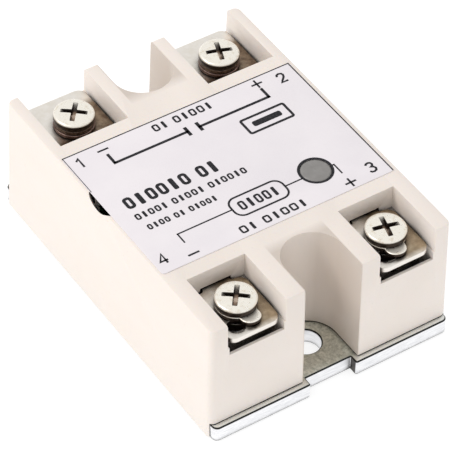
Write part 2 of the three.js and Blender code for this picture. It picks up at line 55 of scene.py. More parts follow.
SLOT_OF = {row["node"]: row["material_slot"] for row in frame["record"]["subparts"]}
SCREW_AXIS = {joint["child"]: joint["pos_m"] for joint in BEHAVIOUR["joints"] if "pos_m" in joint}

# How far each terminal's screw and clamp are turned from the part's axes, in radians.
SCREW_TURN = {1: -0.69, 2: -0.34, 3: -0.25, 4: -0.675}
CLAMP_TURN = {1: 0.06, 2: -0.12, 3: -0.12, 4: 0.12}
WELL_X = SCREW_AXIS["screw_2"][0] / MM
TAB_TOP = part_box("terminal_plate_1")[1].z / MM
OUTPUT_TERMINALS = (1, 2)
INPUT_TERMINALS = (3, 4)


# ---- Camera ----------------------------------------------------------------------------------

CAMERA_BACK = Vector((-0.4018, -0.5862, 0.7035))
CAMERA_AIM = Vector((0, 0, 11.5)) * MM
CAMERA_DISTANCE = 475.15 * MM
CAMERA_ROLL = math.radians(1.714)
CAMERA_LENS = 235.9
CAMERA_SHIFT = (0.0069, -0.0304)


def add_camera():
    data = bpy.data.cameras.new("camera")
    data.lens = CAMERA_LENS
    data.sensor_width = 36
    data.shift_x, data.shift_y = CAMERA_SHIFT
    camera = bpy.data.objects.new("camera", data)
    back = CAMERA_BACK.normalized()
    right = Vector((0, 0, 1)).cross(back).normalized()
    up = back.cross(right)
    rolled_right = right * math.cos(CAMERA_ROLL) + up * math.sin(CAMERA_ROLL)
    rolled_up = up * math.cos(CAMERA_ROLL) - right * math.sin(CAMERA_ROLL)
    turn = Matrix((rolled_right, rolled_up, back)).transposed().to_4x4()
    camera.matrix_world = Matrix.Translation(CAMERA_AIM + back * CAMERA_DISTANCE) @ turn
    bpy.context.scene.collection.objects.link(camera)
    bpy.context.scene.camera = camera


# ---- Node material helpers -------------------------------------------------------------------

class Shader:
    """A Principled material with object-space coordinates in millimetres, built up node by node."""

    def __init__(self, name, color, roughness, metallic=0.0):
        self.material = bpy.data.materials.new(name)
        self.material.use_nodes = True
        self.tree = self.material.node_tree
        self.surface = self.tree.nodes["Principled BSDF"]
        self.surface.inputs["Base Color"].default_value = (*color, 1)
        self.surface.inputs["Roughness"].default_value = roughness
        self.surface.inputs["Metallic"].default_value = metallic
        coordinates = self.add("ShaderNodeTexCoord")
        scale = self.add("ShaderNodeVectorMath", operation="SCALE")
        scale.inputs["Scale"].default_value = 1 / MM
        self.link(coordinates.outputs["Object"], scale.inputs[0])
        self.place = scale.outputs[0]
        self.height = None

    def add(self, kind, **settings):
        node = self.tree.nodes.new(kind)
        for key, value in settings.items():
            setattr(node, key, value)
        return node

    def link(self, source, target):
        self.tree.links.new(source, target)

    def stretched(self, scale):
        mapping = self.add("ShaderNodeMapping")
        mapping.inputs["Scale"].default_value = scale
        self.link(self.place, mapping.inputs["Vector"])
        return mapping.outputs["Vector"]

    def noise(self, size, detail=2.0, stretch=None, roughness=0.5):
        """Noise whose features are about size millimetres across."""
        texture = self.add("ShaderNodeTexNoise")
        texture.inputs["Scale"].default_value = 1 / size
        texture.inputs["Detail"].default_value = detail
        texture.inputs["Roughness"].default_value = roughness
        place = self.stretched(stretch) if stretch else self.place
        self.link(place, texture.inputs["Vector"])
        return texture.outputs["Fac"]

    def ramp(self, value, low, high, out_low=0.0, out_high=1.0):
        node = self.add("ShaderNodeMapRange")
        node.inputs["From Min"].default_value = low
        node.inputs["From Max"].default_value = high
        node.inputs["To Min"].default_value = out_low
        node.inputs["To Max"].default_value = out_high
        self.link(value, node.inputs["Value"])
        return node.outputs["Result"]

    def math(self, operation, first, second):
        node = self.add("ShaderNodeMath", operation=operation)
        for socket, value in zip(node.inputs, (first, second)):
            if isinstance(value, (int, float)):
                socket.default_value = value
            else:
                self.link(value, socket)
        return node.outputs[0]

    def mix(self, factor, first, second):
        """Mixes two colours, each a triple or a socket."""
        node = self.add("ShaderNodeMix", data_type="RGBA")
        self.link(factor, node.inputs["Factor"])
        for socket, value in ((node.inputs["A"], first), (node.inputs["B"], second)):
            self.set_color(socket, value)
        return node.outputs["Result"]

    def set_color(self, socket, value):
        if isinstance(value, tuple):
            socket.default_value = (*value, 1)
        else:
            self.link(value, socket)

    def color(self, value):
        self.set_color(self.surface.inputs["Base Color"], value)

    def roughness(self, value):
        self.link(value, self.surface.inputs["Roughness"])

    def bump(self, value, depth):
        """Adds a bump of about depth millimetres over any bump already there."""
        node = self.add("ShaderNodeBump")
        node.inputs["Strength"].default_value = 1.0
        node.inputs["Distance"].default_value = depth * MM
        self.link(value, node.inputs["Height"])
        if self.height:
            self.link(self.height, node.inputs["Normal"])
        self.height = node.outputs["Normal"]
        self.link(self.height, self.surface.inputs["Normal"])

    def crevice(self, distance, only_local=False):
        """1 in open places and towards 0 in corners within distance millimetres."""
        node = self.add("ShaderNodeAmbientOcclusion", samples=8, only_local=only_local)
        node.inputs["Distance"].default_value = distance * MM
        return node.outputs["AO"]

    def facing(self, axis):
        """The part of the face's direction along an axis; without its sign for X."""
        geometry = self.add("ShaderNodeNewGeometry")
        split = self.add("ShaderNodeSeparateXYZ")
        self.link(geometry.outputs["Normal"], split.inputs[0])
        along = split.outputs[axis]
        return self.math("ABSOLUTE", along, 0) if axis == "X" else along

    def coordinate(self, axis):
        split = self.add("ShaderNodeSeparateXYZ")
        self.link(self.place, split.inputs[0])
        return split.outputs[axis]

    def across_well(self):
        """Millimetres to the right of the screw's axis, in the well that the point is in."""
        shifted = self.math("ADD", self.coordinate("X"), 2 * WELL_X)
        return self.math("SUBTRACT", self.math("MODULO", shifted, 2 * WELL_X), WELL_X)


# ---- Materials -------------------------------------------------------------------------------

def housing_plastic():
    """Ivory thermoplastic with a fine eroded texture and faint flow marks, and painted shade in its
    wells, its input recess and its narrow gaps.
    """
    look = Shader("housing_plastic", (0.87, 0.80, 0.745), 0.5)
    flow = look.ramp(look.noise(9, 3, (1, 0.35, 1)), 0.3, 0.7)
    tint = look.mix(flow, (0.880, 0.808, 0.752), (0.858, 0.784, 0.722))
    speck = look.ramp(look.noise(0.45, 4), 0.64, 0.74)
    specked = look.mix(look.math("MULTIPLY", speck, 0.3), tint, (0.72, 0.66, 0.57))
    # Painted shade: the wells are darkened where the housing itself hides them from the light.
    well = look.ramp(look.crevice(9, only_local=True), 0.30, 0.95)
    shaded_walls = look.mix(well, (0.84, 0.755, 0.675), specked)
    # Painted shade: the walls of the input recess are darker, chosen by position.
    middle = look.ramp(look.math("ABSOLUTE", look.coordinate("X"), 0), 5.22, 5.42, 1, 0)
    outward = look.math("ABSOLUTE", look.coordinate("Y"), 0)
    recess = look.math("MULTIPLY", middle, look.ramp(outward, 18.8, 21))
    shaded = look.mix(recess, shaded_walls, (0.66, 0.585, 0.52))
    # Painted shade: near black in narrow gaps and deep hollows, except on the well walls just above the
    # tabs.
    gap = look.ramp(look.crevice(1.0), 0.15, 0.5)
    above_tab = look.ramp(look.coordinate("Z"), TAB_TOP - 1.1, TAB_TOP - 0.6)
    in_well = look.math("MULTIPLY", above_tab, look.ramp(outward, 14.5, 15.5))
    hollow = look.math("MAXIMUM", look.ramp(look.crevice(6), 0.12, 0.34), in_well)
    look.color(look.mix(look.math("MULTIPLY", gap, hollow), (0.010, 0.007, 0.006), shaded))
    look.roughness(look.ramp(look.noise(2.2, 3), 0.3, 0.7, 0.42, 0.56))
    look.bump(look.noise(0.16, 3), 0.012)
    look.bump(look.noise(6, 1), 0.05)
    look.surface.inputs["Specular IOR Level"].default_value = 0.4
    look.surface.inputs["Subsurface Weight"].default_value = 0.08
    look.surface.inputs["Subsurface Scale"].default_value = 0.6 * MM
    look.surface.inputs["Subsurface Radius"].default_value = (1.0, 0.7, 0.4)
    return look.material


def label_film():
    """Satin white film, faintly cool, with the weave of its adhesive showing through."""
    look = Shader("label_film", (0.86, 0.82, 0.85), 0.45)
    cloud = look.ramp(look.noise(7, 4), 0.35, 0.65)
    base = look.mix(cloud, (0.865, 0.825, 0.852), (0.835, 0.795, 0.828))
    dust = look.ramp(look.noise(0.3, 2), 0.70, 0.76)
    look.color(look.mix(look.math("MULTIPLY", dust, 0.25), base, (0.64, 0.61, 0.63)))
    look.roughness(look.ramp(look.noise(3, 3), 0.3, 0.7, 0.38, 0.52))
    look.bump(look.noise(1.1, 3), 0.010)
    look.bump(look.noise(0.12, 2), 0.003)
    return look.material


def print_ink():
    """Black screen-print ink with slightly uneven cover."""
    look = Shader("print_ink", (0.02, 0.02, 0.025), 0.5)
    thin = look.ramp(look.noise(0.25, 3), 0.5, 0.8)
    look.color(look.mix(thin, (0.010, 0.010, 0.013), (0.055, 0.052, 0.06)))
    look.roughness(look.ramp(look.noise(0.5, 2), 0.3, 0.7, 0.42, 0.6))
    look.bump(look.noise(0.2, 2), 0.004)
    look.surface.inputs["Specular IOR Level"].default_value = 0.25
    return look.material


def smoked_plastic():
    """The status light's window: grey-brown, with moulding swirl under a satin face."""
    look = Shader("lens_plastic", (0.28, 0.27, 0.26), 0.3)
    swirl = look.ramp(look.noise(1.8, 3), 0.3, 0.7)
    look.color(look.mix(swirl, (0.31, 0.30, 0.29), (0.25, 0.24, 0.23)))
    look.roughness(look.ramp(look.noise(0.7, 3), 0.3, 0.7, 0.26, 0.42))
    look.bump(look.noise(0.9, 2), 0.01)
    look.surface.inputs["Transmission Weight"].default_value = 0.1
    look.surface.inputs["IOR"].default_value = 1.49
    return look.material


def rolled_aluminium():
    """Plate with a dull, oxidised rolled face and brighter sawn edges, with a painted reflection on the
    strip in front of the housing, and painted shade on the notch ends, along the arris and in the gaps.
    """
    look = Shader("aluminium", (0.62, 0.63, 0.63), 0.36, 1.0)
    lines = look.noise(0.22, 3, (1, 0.02, 1))
    mottle = look.ramp(look.noise(0.55, 5, roughness=0.65), 0.36, 0.66)
    dull = look.mix(mottle, (0.86, 0.89, 0.82), (0.44, 0.47, 0.41))
    scored = look.mix(look.math("MULTIPLY", look.ramp(lines, 0.4, 0.7), 0.3), dull, (0.78, 0.80, 0.74))
    outward = look.math("ABSOLUTE", look.coordinate("Y"), 0)
    # Painted reflection: the strip of the top in front of the housing is lighter, as if it mirrored the
    # housing's front wall.
    face = look.mix(look.ramp(outward, 30.3, 30.8), scored, (0.86, 0.87, 0.84))
    streak = look.ramp(look.noise(0.3, 3, (0.15, 0.15, 1)), 0.35, 0.7)
    sawn = look.mix(streak, (0.95, 0.955, 0.97), (0.80, 0.805, 0.83))
    # Painted shade: the end faces of the notches, which face along X, are near black.
    notch = look.math("MULTIPLY", look.ramp(outward, 30.1, 30.3), look.ramp(look.facing("X"), 0.9, 0.97))
    middle = look.ramp(look.math("ABSOLUTE", look.coordinate("X"), 0), 5, 6, 1, 0)
    ends = look.mix(look.math("MULTIPLY", notch, middle), sawn, (0.10, 0.095, 0.09))
    up = look.facing("Z")
    # Painted shade: a dark line on the rounded arris between the top and the sides.
    arris = look.mix(look.ramp(up, 0.10, 0.30), ends, (0.03, 0.03, 0.028))
    metal = look.mix(look.ramp(up, 0.90, 0.975), arris, face)
    # Painted shade: near black in crevices, where other parts stand close to the plate.
    gap = look.ramp(look.crevice(1.6), 0.44, 0.66)
    look.color(look.mix(gap, (0.02, 0.018, 0.015), metal))
    look.roughness(look.ramp(look.noise(1.0, 4), 0.3, 0.7, 0.30, 0.5))
    look.bump(lines, 0.010)
    look.bump(look.noise(0.5, 4), 0.012)
    look.surface.inputs["Anisotropic"].default_value = 0.4
    return look.material


def bright_nickel():
    """Nickel-plated steel, bright on top, with painted shade on its sides, in its cross recess and in
    its corners, and a painted reflection on the recess floor.
    """
    look = Shader("plated_steel", (0.93, 0.90, 0.83), 0.28, 0.7)
    stain = look.ramp(look.noise(0.7, 5, roughness=0.65), 0.54, 0.74)
    base = look.mix(stain, (1.0, 0.96, 0.87), (0.76, 0.66, 0.50))
    # Painted shade: the sides of the heads are near black.
    side = look.mix(look.ramp(look.facing("Z"), 0.12, 0.5), (0.042, 0.028, 0.020), base)
    # Painted shade and painted reflection: the cross recess is near black on its walls, with a tan
    # reflection on its floor.
    floor = look.mix(look.ramp(look.facing("Z"), 0.8, 0.95), (0.022, 0.012, 0.008), (0.60, 0.40, 0.27))
    recess = look.mix(look.ramp(look.crevice(1.5, only_local=True), 0.45, 0.92), floor, side)
    # Painted shade: near black in corners where parts meet.
    corner = look.ramp(look.crevice(1.0), 0.25, 0.75)
    look.color(look.mix(corner, (0.03, 0.018, 0.012), recess))
    look.roughness(look.ramp(look.noise(0.6, 4), 0.3, 0.7, 0.24, 0.40))
    look.bump(look.noise(0.35, 4), 0.006)
    look.bump(look.noise(0.12, 2, (1, 8, 1)), 0.003)
    return look.material


def tarnished_brass():
    """Thin nickel over brass, bright, with painted shade: bronze-brown where the tab lies in shade, dark
    side faces and crevices, and darker washers.
    """
    look = Shader("plated_brass", (0.46, 0.37, 0.25), 0.38, 1.0)
    patch = look.ramp(look.noise(1.3, 5, roughness=0.65), 0.36, 0.62)
    # Painted shade: the bronze-brown is darker at the rear terminals.
    rear = look.ramp(look.coordinate("Y"), -5, 5)
    light = look.mix(rear, (0.52, 0.42, 0.29), (0.36, 0.28, 0.20))
    dark = look.mix(rear, (0.36, 0.28, 0.19), (0.19, 0.135, 0.095))
    plated = look.mix(patch, (0.96, 0.92, 0.86), (0.90, 0.85, 0.77))
    # Painted shade and painted reflection: bronze-brown right of the screw, where the tab mirrors the
    # shaded well wall, and behind the output screws; the bright plating elsewhere.
    across = look.ramp(look.across_well(), -1.6, 0.6)
    outward = look.math("ABSOLUTE", look.coordinate("Y"), 0)
    shade_fade = look.math("ADD", outward, look.math("MULTIPLY", rear, 3))
    right_shade = look.math("MULTIPLY", across, look.ramp(shade_fade, 29, 30.6, 1, 0))
    behind = look.math("MULTIPLY", rear, look.ramp(outward, 20.0, 22.4, 1, 0))
    painted_shade = look.math("MAXIMUM", right_shade, behind)
    top = look.mix(painted_shade, plated, look.mix(patch, light, dark))
    # Painted shade: the tab's side faces are near black, except along its front edge.
    edge = look.mix(look.ramp(outward, 29.3, 29.7), (0.04, 0.028, 0.022), (0.86, 0.82, 0.76))
    tab = look.mix(look.ramp(look.facing("Z"), 0.3, 0.8), edge, top)
    # The washers above the tab are brown, and painted darker still as shade under the screw heads.
    washer = look.ramp(look.coordinate("Z"), TAB_TOP + 0.01, TAB_TOP + 0.05)
    both = look.mix(washer, tab, look.mix(patch, (0.34, 0.24, 0.21), (0.15, 0.095, 0.08)))
    # Painted shade: near black in crevices by the walls and the screw stack.
    corner = look.ramp(look.crevice(2.2), 0.32, 0.78)
    look.color(look.mix(corner, (0.022, 0.013, 0.010), both))
    look.roughness(look.ramp(look.noise(0.8, 4), 0.3, 0.7, 0.28, 0.5))
    look.bump(look.noise(0.3, 4), 0.012)
    return look.material


def spring_steel():
    """Tempered spring steel: mottled brown, with painted shade in its crevices."""
    look = Shader("spring_steel", (0.30, 0.23, 0.18), 0.36, 1.0)
    patch = look.ramp(look.noise(0.7, 4, roughness=0.6), 0.38, 0.66)
    base = look.mix(patch, (0.26, 0.19, 0.15), (0.10, 0.07, 0.055))
    # Painted shade: near black in crevices.
    look.color(look.mix(look.ramp(look.crevice(0.7), 0.2, 0.6), (0.02, 0.013, 0.01), base))
    look.roughness(look.ramp(look.noise(0.5, 3), 0.3, 0.7, 0.28, 0.48))
    look.bump(look.noise(0.25, 3), 0.01)
    return look.material


def bare_copper():
    look = Shader("copper", (0.72, 0.40, 0.26), 0.35, 1.0)
    patch = look.ramp(look.noise(1.2, 4), 0.35, 0.65)
    look.color(look.mix(patch, (0.76, 0.43, 0.28), (0.52, 0.25, 0.15)))
    look.roughness(look.ramp(look.noise(0.5, 3), 0.3, 0.7, 0.25, 0.5))
    look.bump(look.noise(0.25, 3), 0.01)
    return look.material


def alumina():
    look = Shader("alumina", (0.86, 0.86, 0.83), 0.6)
    grain = look.ramp(look.noise(0.3, 4), 0.35, 0.65)
    look.color(look.mix(grain, (0.88, 0.88, 0.85), (0.78, 0.78, 0.75)))
    look.roughness(look.ramp(look.noise(0.2, 3), 0.3, 0.7, 0.5, 0.7))
    look.bump(look.noise(0.1, 3), 0.006)
    return look.material


def moulded_dark(name, color, roughness):
    """Dark moulded or cast epoxy, with a sandy surface."""
    look = Shader(name, color, roughness)
    pale = tuple(min(1, channel * 1.7 + 0.01) for channel in color)
    look.color(look.mix(look.ramp(look.noise(0.4, 4), 0.4, 0.7), color, pale))
    look.roughness(look.ramp(look.noise(0.5, 3), 0.3, 0.7, roughness - 0.08, roughness + 0.1))
    look.bump(look.noise(0.12, 3), 0.008)
    return look.material


def coloured_gloss(name, color, roughness):
    """Glossy enamel, sleeve or tinted epoxy."""
    look = Shader(name, color, roughness)
    deep = tuple(channel * 0.6 for channel in color)
    look.color(look.mix(look.ramp(look.noise(0.8, 3), 0.35, 0.65), color, deep))
    look.roughness(look.ramp(look.noise(0.6, 2), 0.3, 0.7, roughness - 0.04, roughness + 0.08))
    look.bump(look.noise(0.5, 2), 0.01)
    look.surface.inputs["Coat Weight"].default_value = 0.3
    return look.material


def solder_mask():
    look = Shader("board_laminate", (0.05, 0.22, 0.10), 0.4)
    weave = look.add("ShaderNodeTexWave", wave_type="BANDS", bands_direction="X")
    weave.inputs["Scale"].default_value = 1.2
    look.link(look.place, weave.inputs["Vector"])
    look.color(look.mix(weave.outputs["Fac"], (0.035, 0.18, 0.08), (0.05, 0.24, 0.11)))
    look.roughness(look.ramp(look.noise(0.8, 3), 0.3, 0.7, 0.32, 0.5))
    look.bump(weave.outputs["Fac"], 0.01)
    return look.material


def make_materials():
    return {
        "housing_plastic": housing_plastic(),
        "label_film": label_film(),
        "print_ink": print_ink(),
        "lens_plastic": smoked_plastic(),
        "led_plastic": coloured_gloss("led_plastic", (0.50, 0.05, 0.035), 0.15),
        "aluminium": rolled_aluminium(),
        "plated_steel": bright_nickel(),
        "plated_brass": tarnished_brass(),
        "spring_steel": spring_steel(),
        "copper": bare_copper(),
        "alumina": alumina(),
        "black_epoxy": moulded_dark("black_epoxy", (0.028, 0.028, 0.03), 0.55),
        "resistor_enamel": coloured_gloss("resistor_enamel", (0.20, 0.38, 0.52), 0.3),
        "board_laminate": solder_mask(),
        "capacitor_sleeve": coloured_gloss("capacitor_sleeve", (0.03, 0.035, 0.06), 0.25),
        "potting_resin": moulded_dark("potting_resin", (0.025, 0.025, 0.03), 0.35),
    }


# ---- Mesh helpers ----------------------------------------------------------------------------

def link_mesh(name, mesh):
    piece = bpy.data.objects.new(name, mesh)
    bpy.context.scene.collection.objects.link(piece)
    return piece


def apply_modifiers(piece):
    graph = bpy.context.evaluated_depsgraph_get()
    mesh = bpy.data.meshes.new_from_object(piece.evaluated_get(graph))
    piece.modifiers.clear()
    piece.data = mesh


def shade(piece, angle=32):
    """Smooth shading, with creases kept where faces meet at more than angle degrees."""
    mesh = piece.data
    mesh.shade_smooth()
    mesh.set_sharp_from_angle(angle=math.radians(angle))


def bevel(piece, width, segments=3, limit=28):
    modifier = piece.modifiers.new("bevel", "BEVEL")
    modifier.width = width * MM
    modifier.segments = segments
    modifier.limit_method = "ANGLE"
    modifier.angle_limit = math.radians(limit)
    modifier.miter_outer = "MITER_ARC"
    modifier.use_clamp_overlap = True
    modifier.harden_normals = False
    apply_modifiers(piece)


def softened_copy(node, width, segments=3):
    """A copy of a CAD node with its flat faces tidied up and its edges rounded."""
    mesh = NODES[node].data.copy()
    form = bmesh.new()
    form.from_mesh(mesh)
    bmesh.ops.remove_doubles(form, verts=form.verts, dist=0.002 * MM)
    bmesh.ops.dissolve_limit(form, angle_limit=math.radians(0.8), verts=form.verts, edges=form.edges)
    form.to_mesh(mesh)
    form.free()
    piece = link_mesh(node + "_detail", mesh)
    mesh.materials.clear()
    bevel(piece, width, segments)
    shade(piece)
    return piece


def filleted(corners, steps=5):
    """Points through (x, y, radius) corners, with each corner rounded to its radius."""
    points = []
    for i, (x, y, radius) in enumerate(corners):
        here = Vector((x, y))
        if radius == 0:
            points.append((x, y))
            continue
        before = (Vector(corners[i - 1][:2]) - here).normalized()
        after = (Vector(corners[(i + 1) % len(corners)][:2]) - here).normalized()
        half = before.angle(after) / 2
        centre = here + (before + after).normalized() * (radius / math.sin(half))
        start = here + before * (radius / math.tan(half)) - centre
        end = here + after * (radius / math.tan(half)) - centre
        first = math.atan2(start.y, start.x)
        sweep = (math.atan2(end.y, end.x) - first + math.pi) % (2 * math.pi) - math.pi
        for k in range(steps + 1):
            angle = first + sweep * k / steps
            out, up = radius * math.cos(angle), radius * math.sin(angle)
            points.append((centre.x + out, centre.y + up))
    return points


def rectangle(low_x, high_x, low_y, high_y, radius, steps=8):
    corners = ((low_x, low_y), (high_x, low_y), (high_x, high_y), (low_x, high_y))
    return filleted([(x, y, radius) for x, y in corners], steps)


def circle(x, y, radius, steps=72):
    """A hole's edge, which runs clockwise."""
    angles = [-2 * math.pi * i / steps for i in range(steps)]
    return [(x + radius * math.cos(angle), y + radius * math.sin(angle)) for angle in angles]


def inset(points, distance):
    """The outline moved to its left by distance, which is into the material."""
    moved = []
    for i, point in enumerate(points):
        here = Vector(point)
        sides = (here - Vector(points[i - 1]), Vector(points[(i + 1) % len(points)]) - here)
        first, second = (Vector((-side.y, side.x)).normalized() for side in sides)
        moved.append(here + (first + second) * (distance / (1 + first.dot(second))))
    return moved


def quarter_arc(edge, steps=4):
    angles = [math.pi / 2 * k / steps for k in range(steps + 1)]
    return [(edge * math.sin(angle), edge * math.cos(angle)) for angle in angles]


def join_loops(form, first, second):
    for i in range(len(first)):
        j = (i + 1) % len(first)
        form.faces.new((first[i], first[j], second[j], second[i]))


def plate(form, outlines, low, high, edge):
    """A flat body with rounded edges, from a counterclockwise outline and its clockwise holes."""
    sections = [(edge - out, low + edge - up) for out, up in quarter_arc(edge)]
    sections += [(edge - out, high - edge + up) for out, up in reversed(quarter_arc(edge))]
    ends = ([], [])
    for points in outlines:
        loops = []
        for distance, z in sections:
            loops.append([form.verts.new((x, y, z)) for x, y in inset(points, distance)])
        for first, second in zip(loops, loops[1:]):
            join_loops(form, first, second)
        ends[0].append(loops[0])
        ends[1].append(loops[-1])
    for loops in ends:
        edges = [form.edges.get((loop[i - 1], loop[i])) for loop in loops for i in range(len(loop))]
        bmesh.ops.triangle_fill(form, use_beauty=True, use_dissolve=False, edges=edges)


def revolve(form, profile, steps=96):
    """A body of revolution about Z, from (radius, height) pairs that start and end on the axis."""
    rings = []
    for radius, height in profile:
        count = steps if radius else 1
        angles = [2 * math.pi * i / steps for i in range(count)]
        around = [(radius * math.cos(angle), radius * math.sin(angle), height) for angle in angles]
        rings.append([form.verts.new(point) for point in around])
    for low, high in zip(rings, rings[1:]):
        for i in range(steps):
            j = (i + 1) % steps
            lower = (low[i % len(low)], low[j % len(low)])
            upper = (high[j % len(high)], high[i % len(high)])
            form.faces.new(list(dict.fromkeys(lower + upper)))


def new_piece(name, form, place=(0, 0, 0), turn=0.0, crease=32):
    """An object from a mesh drawn in millimetres, turned about Z and then moved to its place."""
    bmesh.ops.recalc_face_normals(form, faces=form.faces)
    form.transform(Matrix.Scale(MM, 4) @ Matrix.Translation(place) @ Matrix.Rotation(turn, 4, "Z"))
    mesh = bpy.data.meshes.new(name)
    form.to_mesh(mesh)
    form.free()
    piece = link_mesh(name, mesh)
    shade(piece, crease)
    return piece


def carve(piece, cutter):
    modifier = piece.modifiers.new("carve", "BOOLEAN")
    modifier.operation = "DIFFERENCE"
    modifier.solver = "EXACT"
    modifier.object = cutter
    apply_modifiers(piece)
    bpy.data.objects.remove(cutter)


def finish_piece(piece, node, materials):
    """Gives a piece its node's finish and body, and hides the node it stands for."""
    piece.data.materials.clear()
    piece.data.materials.append(materials[SLOT_OF[node]])
    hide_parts(node)
    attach(piece, BODY_OF[node])


# ---- Label print -----------------------------------------------------------------------------

PRINT_THICKNESS = 0.02
FINE_LINE = 0.26
SIGN_LINE = 0.34
BOLD_LINE = 0.5
CONTACT_LINE = 0.6


class Print:
    """Flat ink marks that lie on the label, gathered into one mesh."""

    def __init__(self, level):
        self.mesh = bmesh.new()
        self.low = level
        self.high = level + PRINT_THICKNESS

    def polygon(self, points):
        low = [self.mesh.verts.new((x * MM, y * MM, self.low * MM)) for x, y in points]
        high = [self.mesh.verts.new((x * MM, y * MM, self.high * MM)) for x, y in points]
        count = len(points)
        self.mesh.faces.new(high)
        self.mesh.faces.new(list(reversed(low)))
        for i in range(count):
            j = (i + 1) % count
            self.mesh.faces.new((low[i], low[j], high[j], high[i]))

    def bar(self, x, y, width, height):
        half_x, half_y = width / 2, height / 2
        left, right, low, high = x - half_x, x + half_x, y - half_y, y + half_y
        self.polygon([(left, low), (right, low), (right, high), (left, high)])

    def line(self, points, width=FINE_LINE):
        """A line of straight stretches along X or Y, with square corners."""
        for (x1, y1), (x2, y2) in zip(points, points[1:]):
            self.bar((x1 + x2) / 2, (y1 + y2) / 2, abs(x2 - x1) + width, abs(y2 - y1) + width)

    def words(self, x, y, counts, advance, height, weight):
        """Blank letter shapes in place of a row of words: boxes and bars that spell nothing."""
        for count in counts:
            for i in range(count):
                middle = x + advance / 2
                if i % 3 == 1:
                    self.pill(middle, y, 1.5 * weight, height)
                else:
                    self.frame(middle, y, 0.78 * advance, height, 1.2 * weight, weight)
                x += advance
            x += 0.6 * advance

    def pill(self, x, y, width, height):
        self.polygon(rounded_outline(x, y, width, height, 0.3 * min(width, height), 4))

    def frame(self, x, y, width, height, radius, line):
        outer = rounded_outline(x, y, width, height, radius, 8)
        inner = rounded_outline(x, y, width - 2 * line, height - 2 * line, radius - line, 8)
        self.band(outer, inner)

    def ring(self, x, y, outer_radius, inner_radius, steps=64):
        angles = [2 * math.pi * i / steps for i in range(steps)]
        around = [(math.cos(angle), math.sin(angle)) for angle in angles]
        outer = [(x + outer_radius * right, y + outer_radius * up) for right, up in around]
        inner = [(x + inner_radius * right, y + inner_radius * up) for right, up in around]
        self.band(outer, inner)

    def band(self, outer, inner):
        rows = []
        edges = ((outer, self.high), (inner, self.high), (inner, self.low), (outer, self.low))
        for points, level in edges:
            rows.append([self.mesh.verts.new((x * MM, y * MM, level * MM)) for x, y in points])
        count = len(outer)
        for k in range(4):
            row, following = rows[k], rows[(k + 1) % 4]
            for i in range(count):
                j = (i + 1) % count
                self.mesh.faces.new((row[i], row[j], following[j], following[i]))

    def stroke(self, points, width):
        """A line through any points, with mitred corners."""
        left, right = [], []
        for i, point in enumerate(points):
            here = Vector(point)
            before = here - Vector(points[max(i, 1) - 1]) if i else Vector(points[1]) - here
            after = Vector(points[i + 1]) - here if i + 1 < len(points) else before
            before.normalize()
            after.normalize()
            normal = Vector((-before.y - after.y, before.x + after.x)).normalized()
            reach = min(0.8 * width, width / 2 / max(0.1, normal.dot(Vector((-after.y, after.x)))))
            left.append(here + normal * reach)
            right.append(here - normal * reach)
        self.polygon(right + left[::-1])

    def digit(self, points, x, y, height, width):
        """A number drawn by one stroke, centred on x, y."""
        placed = [(x + (right - 0.3) * height, y + (up - 0.5) * height) for right, up in points]
        self.stroke(placed, width)


DIGITS = {
    1: ((0.08, 0.76), (0.34, 1), (0.34, 0)),
    2: (
        (0.02, 0.74), (0.09, 0.92), (0.3, 1), (0.51, 0.92), (0.58, 0.74), (0.48, 0.5), (0.2, 0.22),
        (0.02, 0.02), (0.6, 0.02),
    ),
    3: (
        (0.03, 0.84), (0.13, 0.96), (0.32, 1), (0.5, 0.93), (0.56, 0.76), (0.48, 0.6), (0.28, 0.54),
        (0.5, 0.45), (0.59, 0.27), (0.51, 0.08), (0.3, 0), (0.1, 0.04), (0, 0.18),
    ),
    4: ((0.46, 0), (0.46, 1), (0, 0.3), (0.64, 0.3)),
}


def rounded_outline(x, y, width, height, radius, steps):
    half_x, half_y = width / 2 - radius, height / 2 - radius
    points = []
    for quarter, (sx, sy) in enumerate(((1, 1), (-1, 1), (-1, -1), (1, -1))):
        for i in range(steps + 1):
            angle = (quarter + i / steps) * math.pi / 2
            out, up = radius * math.cos(angle), radius * math.sin(angle)
            points.append((x + sx * half_x + out, y + sy * half_y + up))
    return points


